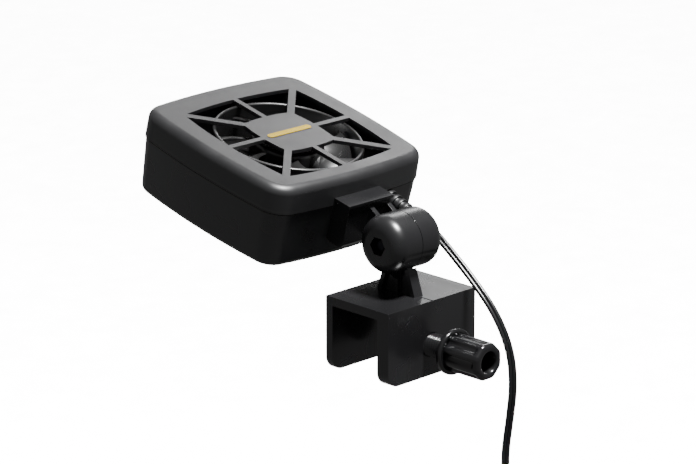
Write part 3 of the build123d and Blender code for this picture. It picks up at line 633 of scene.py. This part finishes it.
def spline_points(points):
    """Points along a NURBS spline with these control points."""
    curve = bpy.data.curves.new("route", "CURVE")
    curve.dimensions = "3D"
    curve.resolution_u = 8
    spline = curve.splines.new("NURBS")
    spline.points.add(len(points) - 1)
    for knot, point in zip(spline.points, points):
        knot.co = (*point, 1.0)
    spline.order_u = 3
    spline.use_endpoint_u = True
    holder = bpy.data.objects.new("route", curve)
    bpy.context.scene.collection.objects.link(holder)
    bpy.context.view_layer.update()
    mesh = bpy.data.meshes.new_from_object(holder)
    found = [vertex.co.copy() for vertex in mesh.vertices]
    bpy.data.objects.remove(holder)
    bpy.data.curves.remove(curve)
    bpy.data.meshes.remove(mesh)
    return found


def twin_section(lead):
    """Outline of two round cores side by side, joined by a thin web."""
    reach = lead.width / 2 - lead.core_radius
    # The web is thinner than the cores, so a groove shows between them.
    waist = 0.42 * lead.core_radius
    bend = asin(waist / lead.core_radius)
    outline = []
    steps = 10
    for side in (1, -1):
        for step in range(steps + 1):
            angle = -(pi - bend) + 2 * (pi - bend) * step / steps
            outline.append(
                (
                    side * (reach + lead.core_radius * cos(angle)),
                    side * lead.core_radius * sin(angle),
                )
            )
    return outline


class AQUARIUMFAN_OT_lead(bpy.types.Operator):
    """Make the twin lead with its spare coil, down to the plug"""

    bl_idname = "aquarium_fan.lead"
    bl_label = "Lead"

    def execute(self, context):
        lead = settings().lead
        low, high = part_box("cord_coil")
        centre = (low + high) / 2
        route = [Vector(point) * MM for point in lead_route()]
        coil_top = Vector((centre.x - 1.5 * MM, centre.y - 2.5 * MM, high.z + 0.4 * MM))
        tail_low, tail_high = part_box("cord_tail")
        end = Vector(((tail_low.x + tail_high.x) / 2 + 0.35 * MM, centre.y + 0.3 * MM, tail_low.z))
        tail = [end + Vector((1.5, 3.2, 17.0)) * MM, end + Vector((0, 0, 8.5)) * MM, end]
        core_to_core = (0.72, -0.23, 0.65)
        path = spline_points([*route, coil_top, *spare_coil(lead, centre), *tail])
        vertices, faces = skin(swept(path, twin_section(lead), core_to_core))
        cord = new_piece(
            "twin_lead",
            [(vertices, faces)],
            pvc_lead(),
            None,
            replaces=("cord_lead", "cord_coil", "cord_tail"),
            crease=radians(60),
        )
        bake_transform(cord)
        return {"FINISHED"}


def rounded_box(place, size, edge, steps=4):
    """Skin of a box with rounded corners and ends, centred on its place."""
    half = [side / 2 - edge for side in size]
    rings = []
    for level in range(2 * steps + 2):
        tilt = -pi / 2 + pi * (level if level <= steps else level - 1) / (2 * steps)
        lift = -half[2] if level <= steps else half[2]
        ring = []
        for corner in range(4):
            centre_x = half[0] if corner in (0, 3) else -half[0]
            centre_y = half[1] if corner in (0, 1) else -half[1]
            for step in range(steps + 1):
                angle = pi / 2 * (corner + step / steps)
                spread = edge * cos(tilt)
                ring.append(
                    place
                    @ Vector(
                        (
                            centre_x + spread * cos(angle),
                            centre_y + spread * sin(angle),
                            lift + edge * sin(tilt),
                        )
                    )
                )
        rings.append(ring)
    return skin(rings)


class AQUARIUMFAN_OT_tie(bpy.types.Operator):
    """Make the nylon tie that holds the spare coil together"""

    bl_idname = "aquarium_fan.tie"
    bl_label = "Tie"

    def execute(self, context):
        lead = settings().lead
        coil_low, coil_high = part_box("cord_coil")
        centre = (coil_low + coil_high) / 2
        tie_low, tie_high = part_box("coil_tie")
        outward = (tie_low + tie_high) / 2 - centre
        outward.y = 0
        outward.normalize()
        along = Vector((0, 1, 0)).cross(outward)
        middle = centre + outward * lead.coil_radius
        half_deep = lead.turns_deep * lead.width / 2
        half_across = lead.turns_across * lead.width / 2
        corner = 3.0 * MM
        corner_steps = 8
        half_width = lead.tie_width / 2
        gap = 0.05 * MM
        chamfer = 0.2 * MM
        loops = []
        for proud, aside in (
            (gap, -half_width + chamfer),
            (gap, half_width - chamfer),
            (gap + chamfer, half_width),
            (lead.tie_thickness - chamfer, half_width),
            (lead.tie_thickness, half_width - chamfer),
            (lead.tie_thickness, -half_width + chamfer),
            (lead.tie_thickness - chamfer, -half_width),
            (gap + chamfer, -half_width),
        ):
            loop = []
            for quarter in range(4):
                deep = (half_deep - corner) * (1 if quarter in (0, 3) else -1)
                across = (half_across - corner) * (1 if quarter in (0, 1) else -1)
                for step in range(corner_steps + 1):
                    angle = pi / 2 * (quarter + step / corner_steps)
                    reach = corner + proud
                    loop.append(
                        middle
                        + outward * (deep + reach * cos(angle))
                        + Vector((0, 1, 0)) * (across + reach * sin(angle))
                        + along * aside
                    )
            loops.append(loop)
        strap = skin(loops, looped=True, closed_start=False, closed_end=False)
        # The lock stands on the strap's front, with the trimmed end of the strap beside it.
        front = middle - Vector((0, 1, 0)) * half_across
        lock_place = standing(front + Vector((0, -1.7, 0)) * MM + outward * 1.2 * MM, outward, along)
        lock = rounded_box(lock_place, (5.0 * MM, 3.4 * MM, 4.6 * MM), 0.5 * MM)
        stub_place = standing(front + Vector((0, -2.2, 0)) * MM + outward * 4.6 * MM, outward, along)
        stub = rounded_box(stub_place, (3.3 * MM, 1.0 * MM, 3.4 * MM), 0.3 * MM)
        new_piece(
            "nylon_tie",
            [strap, lock, stub],
            polyamide_tie(),
            "clamp",
            replaces=("coil_tie",),
        )
        return {"FINISHED"}


class AQUARIUMFAN_OT_plug(bpy.types.Operator):
    """Make the moulded body of the plug, with its ribbed boot and grip rings"""

    bl_idname = "aquarium_fan.plug"
    bl_label = "Plug"

    def execute(self, context):
        low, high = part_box("plug_body")
        radius = (high.x - low.x) / 2
        centre = (low + high) / 2
        place = standing((centre.x, centre.y, high.z), (0, 0, -1), ACROSS)
        body_end = high.z - low.z
        boot = body_end / 3
        ribs, thinnest, growth = 5, 1.75 * MM, 0.3 * MM
        profile = [(1.3 * MM, 0.0)]
        for rib in range(ribs):
            start = boot * (rib + 0.1) / ribs
            end = boot * (rib + 0.62) / ribs
            thick = thinnest + growth * rib
            profile += [
                (thick - 0.1 * MM, start),
                (thick, start + 0.12 * MM),
                (thick + 0.05 * MM, end),
                (thick - 0.1 * MM, end + 0.12 * MM),
                (thick - 0.55 * MM, end + 0.2 * MM),
                (thick - 0.5 * MM, boot * (rib + 1) / ribs),
            ]
        profile += [(2.8 * MM, boot - 0.1 * MM)]
        profile += [
            (inner, boot + rise)
            for inner, rise in ((3.6 * MM, 0.0), (4.3 * MM, 0.25 * MM), (4.65 * MM, 0.8 * MM))
        ]
        grips, first_grip, grip_spacing, groove = 6, 2.0 * MM, 1.5 * MM, 0.3 * MM
        for grip in range(grips):
            start = boot + first_grip + grip_spacing * grip
            profile += [
                (radius, start),
                (radius - groove, start + 0.25 * MM),
                (radius - groove, start + 0.65 * MM),
                (radius, start + 0.9 * MM),
            ]
        profile += [
            (radius, body_end - 1.0 * MM),
            (radius - 0.3 * MM, body_end - 0.3 * MM),
            (radius - 1.0 * MM, body_end),
        ]
        new_piece(
            "plug_moulding",
            [skin(turned(place, profile, 64))],
            moulded_pvc(),
            "clamp",
            replaces=("plug_body",),
            crease=radians(30),
        )
        return {"FINISHED"}


def thread_reach(sizes, height, angle):
    """Radius of the thread's surface at a height and an angle round the screw."""
    turn = (height / sizes.thread_pitch - angle / (2 * pi)) % 1
    # The flanks meet in a narrow flat at the crest and at the root.
    flat = 0.12
    climb = min(max((abs(turn - 0.5) * 2 - flat) / (1 - 2 * flat), 0.0), 1.0)
    return sizes.thread_radius - sizes.thread_depth * (1 - climb)


def threaded_rod(sizes, place, extent, steps=56):
    """Skin of a threaded rod with a chamfered tip, from the place's origin along its z."""
    rows_per_turn = 8
    rows = round(extent / sizes.thread_pitch * rows_per_turn)
    core = sizes.thread_radius - sizes.thread_depth
    rings = []
    for row in range(rows + 1):
        height = extent * row / rows
        # The chamfer at the tip cuts the crests down to the core.
        limit = core + height * 0.9
        ring = []
        for step in range(steps):
            angle = 2 * pi * step / steps
            reach = min(thread_reach(sizes, height, angle), limit)
            ring.append(place @ Vector((reach * cos(angle), reach * sin(angle), height)))
        rings.append(ring)
    return skin(rings)


def fluted_knob(sizes, place, extent, steps=192):
    """Skin of the knob: flutes that run out before a plain rim, a rounded end and a bore."""
    foot = 0.15 * MM
    rim = 1.7 * MM
    run_out = 1.5 * MM
    edge = 1.5 * MM
    bore_depth = 10.0 * MM
    mouth = 0.4 * MM
    land_edge = 0.12 * MM
    rim_flat = 0.955
    flute_centre = sizes.knob_radius + 0.75 * MM
    spacing = 2 * pi / sizes.knob_flutes
    levels = [0.0, foot]
    levels += [extent * part / 12 for part in range(1, 9)]
    start = extent - rim - run_out
    levels = [level for level in levels if level < start]
    levels += [start + run_out * part / 8 for part in range(9)]
    levels += [extent - edge + edge * sin(pi / 2 * part / 8) for part in range(1, 9)]
    rings = []
    for level in levels:
        past = max(level - start, 0.0) / run_out
        # A round cutter leaves a quarter circle where the flute runs out.
        depth = sqrt(max(1 - past**2, 0.0)) if past < 1 else 0.0
        over = max(level - (extent - edge), 0.0)
        outside = sizes.knob_radius - edge + sqrt(max(edge**2 - over**2, 0.0))
        ring = []
        for step in range(steps):
            angle = 2 * pi * step / steps
            off = (angle + spacing / 2) % spacing - spacing / 2
            # The plain rim is an octagon with soft corners, flat behind each flute.
            reach = min(outside, outside * rim_flat / cos(off))
            inside = sizes.flute_radius**2 - (flute_centre * sin(off)) ** 2
            if inside > 0:
                hollow = flute_centre * cos(off) - sqrt(inside)
                cut = max(outside - hollow, 0.0)
                # The land's edges are rounded by the last few hundredths of a cut.
                fluted = outside - depth * (sqrt(cut**2 + land_edge**2) - land_edge)
                reach = min(reach, fluted)
            ring.append(place @ Vector((reach * cos(angle), reach * sin(angle), level)))
        rings.append(ring)
    bore = [
        (sizes.knob_bore + mouth, extent),
        (sizes.knob_bore, extent - mouth),
        (sizes.knob_bore, extent - bore_depth),
    ]
    rings += turned(place, bore, steps)
    return skin(rings)


class AQUARIUMFAN_OT_thumbscrew(bpy.types.Operator):
    """Make the thumbscrew: threaded rod, collar and fluted knob"""

    bl_idname = "aquarium_fan.thumbscrew"
    bl_label = "Thumbscrew"

    def execute(self, context):
        sizes = settings().sizes
        low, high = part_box("thumbscrew")
        axis_x, axis_z = (low.x + high.x) / 2, (low.z + high.z) / 2
        pin_length, pin_radius, pin_chamfer = 2.2 * MM, 2.5 * MM, 0.3 * MM
        knob_length, collar_thickness, collar_edge = 14.3 * MM, 2.2 * MM, 0.7 * MM
        lap = 0.1 * MM
        knob_y = low.y + knob_length
        collar_y = knob_y + collar_thickness
        tip, shoulder, collar, knob = (
            standing((axis_x, along_y, axis_z), TOWARDS_KNOB, ACROSS)
            for along_y in (high.y, high.y - pin_length, collar_y, knob_y)
        )
        pin = [
            (pin_radius - pin_chamfer, 0.0),
            (pin_radius, pin_chamfer),
            (pin_radius, pin_length + lap),
        ]
        radius = sizes.collar_radius
        dish = 0.15 * MM
        flange = [(3.2 * MM, 0.0)]
        flange += reversed(rounded_step(radius, 0.0, 1, -1, collar_edge))
        flange += rounded_step(radius, collar_thickness, 1, 1, collar_edge)
        flange += [
            (radius - 1.3 * MM, collar_thickness),
            (radius - 1.5 * MM, collar_thickness - dish),
            (5.0 * MM, collar_thickness - dish),
        ]
        new_piece(
            "thumbscrew_threaded",
            [
                skin(turned(tip, pin, 48)),
                threaded_rod(sizes, shoulder, high.y - pin_length - collar_y + lap),
                skin(turned(collar, flange, 96)),
                fluted_knob(sizes, knob, knob_y - low.y),
            ],
            glossy_abs(),
            "screw",
            replaces=("thumbscrew",),
            crease=radians(50),
        )
        return {"FINISHED"}


def fan_blade(sizes, place, turn):
    """Skin of one cambered blade, twisted from its root at the hub to its tip."""
    rows, across = 9, 12
    root = sizes.hub_radius - 0.4 * MM
    mid_height = 5.4 * MM
    root_pitch, untwist = 46, 14
    root_chord, widening = 10.6 * MM, 4.2 * MM
    crown, edge_share = 0.09, 0.35
    rings = []
    for row in range(rows + 1):
        share = row / rows
        radius = root + (sizes.blade_tip - root) * share
        pitch = radians(root_pitch - untwist * share)
        chord = root_chord + widening * share
        lean = 0.22 * share**2
        upper, lower = [], []
        for at in range(across + 1):
            part = at / across
            along = (part - 0.5) * chord
            camber = crown * chord * (1 - (2 * part - 1) ** 2)
            fullness = edge_share + (1 - edge_share) * sqrt(max(sin(pi * part), 0.0))
            thick = sizes.blade_thickness / 2 * fullness
            for line, side in ((upper, 1), (lower, -1)):
                off = camber + side * thick
                tangent = along * cos(pitch) - off * sin(pitch)
                height = mid_height + along * sin(pitch) + off * cos(pitch)
                angle = turn + lean + tangent / radius
                line.append(place @ Vector((radius * cos(angle), radius * sin(angle), height)))
        rings.append(upper + lower[::-1])
    return skin(rings)


class AQUARIUMFAN_OT_impeller(bpy.types.Operator):
    """Make the impeller: a hub with a rounded edge and its twisted blades"""

    bl_idname = "aquarium_fan.impeller"
    bl_label = "Impeller"

    def execute(self, context):
        sizes = settings().sizes
        spin = joints["rotor_spin"]
        # The joint stands 3 mm above the head's own datum, from which heights are counted.
        datum = Vector(spin["pos_m"]) - Vector(spin["axis"]) * 3.0 * MM
        place = standing(datum, spin["axis"], ACROSS)
        bottom = 0.2 * MM
        top = bottom + sizes.hub_height
        inner_top = top - 2.1 * MM
        wall = 1.7 * MM
        dish = 0.2 * MM
        hole = 0.6 * MM
        first_blade = 0.35
        radius = sizes.hub_radius
        profile = [(radius - wall, bottom), (radius, bottom)]
        profile += rounded_step(radius, top, 1, 1, 1.3 * MM, steps=6)
        profile += [(radius - 2.2 * MM, top), (radius - 2.35 * MM, top - dish), (hole, top - dish)]
        profile += [(hole, inner_top), (radius - wall, inner_top)]
        hub = turned(place, profile, 120)
        parts = [skin(hub, looped=True, closed_start=False, closed_end=False)]
        for blade in range(sizes.blade_count):
            turn = first_blade + 2 * pi * blade / sizes.blade_count
            parts.append(fan_blade(sizes, place, turn))
        new_piece(
            "impeller_bladed",
            parts,
            glass_filled_pbt(),
            "rotor",
            replaces=("impeller",),
        )
        return {"FINISHED"}


def softened(name, node, edge, material, body, crease=radians(32)):
    """A piece in a CAD node's shape, with its sharp edges rounded as a mould leaves them."""
    work = bmesh.new()
    work.from_mesh(frame["nodes"][node].data)
    bmesh.ops.remove_doubles(work, verts=work.verts, dist=0.002 * MM)
    bmesh.ops.dissolve_limit(
        work, angle_limit=radians(0.3), verts=work.verts, edges=work.edges, delimit=set()
    )
    sharp = [
        side
        for side in work.edges
        if len(side.link_faces) == 2 and side.calc_face_angle(0.0) > crease
    ]
    bmesh.ops.bevel(
        work,
        geom=sharp,
        offset=edge,
        offset_type="OFFSET",
        segments=2,
        profile=0.5,
        affect="EDGES",
        clamp_overlap=True,
    )
    mesh = bpy.data.meshes.new(name)
    work.to_mesh(mesh)
    work.free()
    for polygon in mesh.polygons:
        polygon.use_smooth = True
    mesh.set_sharp_from_angle(angle=crease)
    mesh.materials.clear()
    mesh.materials.append(material)
    piece = bpy.data.objects.new(name, mesh)
    bpy.context.scene.collection.objects.link(piece)
    # Broad flat faces keep their own direction, and only the rounded edges shade across.
    even = piece.modifiers.new("even_faces", "WEIGHTED_NORMAL")
    even.keep_sharp = True
    even.weight = 80
    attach(piece, body)
    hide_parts(node)
    return piece


class AQUARIUMFAN_OT_mouldings(bpy.types.Operator):
    """Round the edges of the moulded pieces and give them their finishes"""

    bl_idname = "aquarium_fan.mouldings"
    bl_label = "Mouldings"

    def execute(self, context):
        cover, housing, clamp = spark_eroded_abs(), satin_abs(), semi_gloss_abs()
        softened("cover_moulding", "top_cover", 0.22 * MM, cover, "head")
        softened("housing_moulding", "lower_housing", 0.18 * MM, housing, "head")
        softened("bracket_moulding", "tilt_bracket", 0.22 * MM, clamp, "head")
        softened("clamp_moulding", "clamp_body", 0.25 * MM, clamp, "clamp")
        softened("relief_moulding", "strain_relief", 0.2 * MM, moulded_pvc(), "head")
        softened("pad_moulding", "pressure_pad", 0.2 * MM, nitrile_rubber(), "pad")
        return {"FINISHED"}


class AQUARIUMFAN_OT_finishes(bpy.types.Operator):
    """Give every piece that keeps its CAD shape the finish of its real material"""

    bl_idname = "aquarium_fan.finishes"
    bl_label = "Finishes"

    def execute(self, context):
        finishes = {
            stamped_foil: ("trim_bar",),
            glass_filled_pbt: ("fan_duct",),
            zinc_plate: (
                "shell_screws",
                "duct_screws",
                "bracket_screws",
                "rotor_yoke",
            ),
            black_oxide: ("pivot_bolt", "pivot_nut"),
            ground_steel: ("rotor_shaft",),
            sintered_bronze: ("sleeve_bearing",),
            lamination_stack: ("stator_core",),
            enamelled_wire: ("stator_coils",),
            ferrite: ("magnet_ring",),
            epoxy_board: ("circuit_board",),
            acetal: ("shaft_clip", "plug_insulator", "friction_washer"),
            pvc_lead: ("inner_lead",),
            bright_nickel: ("plug_sleeve", "plug_contact"),
        }
        for make, nodes in finishes.items():
            material = make()
            for node in nodes:
                for place in frame["nodes"][node].material_slots:
                    place.material = material
        return {"FINISHED"}


class AQUARIUMFAN_OT_stage(bpy.types.Operator):
    """Lay out the paper floor and the soft studio lights"""

    bl_idname = "aquarium_fan.stage"
    bl_label = "Stage"

    def execute(self, context):
        # The plug hangs a little above the paper.
        level = cad_box[0].z - 4 * MM
        half = 6.0
        mesh = bpy.data.meshes.new("paper_floor")
        corners = [(x * half, y * half, level) for x, y in ((-1, -1), (1, -1), (1, 1), (-1, 1))]
        mesh.from_pydata(corners, [], [(0, 1, 2, 3)])
        mesh.materials.append(studio_paper())
        floor = bpy.data.objects.new("paper_floor", mesh)
        context.scene.collection.objects.link(floor)
        # The paper is kept out of reflections and bounced light, as black cards round the set would.
        floor.visible_glossy = floor.visible_diffuse = False
        paper = bpy.data.collections.new("paper")
        paper.objects.link(floor)
        world = bpy.data.worlds.new("studio")
        world.use_nodes = True
        background = world.node_tree.nodes["Background"]
        background.inputs["Color"].default_value = (1.0, 1.0, 1.0, 1.0)
        background.inputs["Strength"].default_value = 0.24
        context.scene.world = world
        # Each light has a place, a point that it faces, a width, a depth, a spread and a power. The
        # small ones draw the highlights, the broad one greys the flat tops, the last lights the paper.
        for name, spot, target, width, depth, spread, power in (
            ("overhead", (0.04, -0.31, 1.02), (0, 0, 0), 0.18, 0.18, 60, 7.0),
            ("sheen", (0.95, 0.93, 0.65), (0, 0.02, 0.02), 0.95, 0.7, 110, 1.3),
            ("glint", (0.76, 0.55, 0.48), (0, 0, 0), 0.12, 0.12, 80, 0.11),
            ("paper_wash", (0, 0, 2.5), (0, 0, 0), 4.0, 4.0, 180, 2000.0),
        ):
            data = bpy.data.lights.new(name, "AREA")
            data.shape = "RECTANGLE"
            data.size, data.size_y = width, depth
            data.spread = radians(spread)
            data.energy = power
            light = bpy.data.objects.new(name, data)
            light.location = spot
            light.visible_camera = False
            light.rotation_mode = "QUATERNION"
            light.rotation_quaternion = (Vector(target) - Vector(spot)).to_track_quat("-Z", "Y")
            context.scene.collection.objects.link(light)
            if name == "paper_wash":
                light.light_linking.receiver_collection = paper
        return {"FINISHED"}


OPERATORS = (
    AQUARIUMFAN_OT_camera,
    AQUARIUMFAN_OT_tie,
    AQUARIUMFAN_OT_plug,
    AQUARIUMFAN_OT_lead,
    AQUARIUMFAN_OT_thumbscrew,
    AQUARIUMFAN_OT_impeller,
    AQUARIUMFAN_OT_mouldings,
    AQUARIUMFAN_OT_finishes,
    AQUARIUMFAN_OT_stage,
)


class AQUARIUMFAN_PT_sidebar(bpy.types.Panel):
    """Lists the pieces and their sizes and colours"""

    bl_idname = "AQUARIUMFAN_PT_sidebar"
    bl_label = "Clip-on aquarium fan"
    bl_space_type = "VIEW_3D"
    bl_region_type = "UI"
    bl_category = "Aquarium fan"

    def draw(self, context):
        chosen = context.scene.aquarium_fan
        for title, group in (
            ("Sizes", chosen.sizes),
            ("Lead", chosen.lead),
            ("Colours", chosen.colours),
        ):
            box = self.layout.box()
            box.label(text=title)
            for name in group.__annotations__:
                box.prop(group, name)
        column = self.layout.column(align=True)
        for operator in OPERATORS:
            column.operator(operator.bl_idname)


CLASSES = (FanSizes, LeadSizes, FanColours, AquariumFanSettings, *OPERATORS, AQUARIUMFAN_PT_sidebar)


def register():
    for made in CLASSES:
        bpy.utils.register_class(made)
    bpy.types.Scene.aquarium_fan = bpy.props.PointerProperty(type=AquariumFanSettings)


def unregister():
    del bpy.types.Scene.aquarium_fan
    for made in reversed(CLASSES):
        bpy.utils.unregister_class(made)


def main():
    """Makes every piece in order."""
    register()
    for operator in OPERATORS:
        group, name = operator.bl_idname.split(".")
        getattr(getattr(bpy.ops, group), name)()


if __name__ == "__main__":
    main()
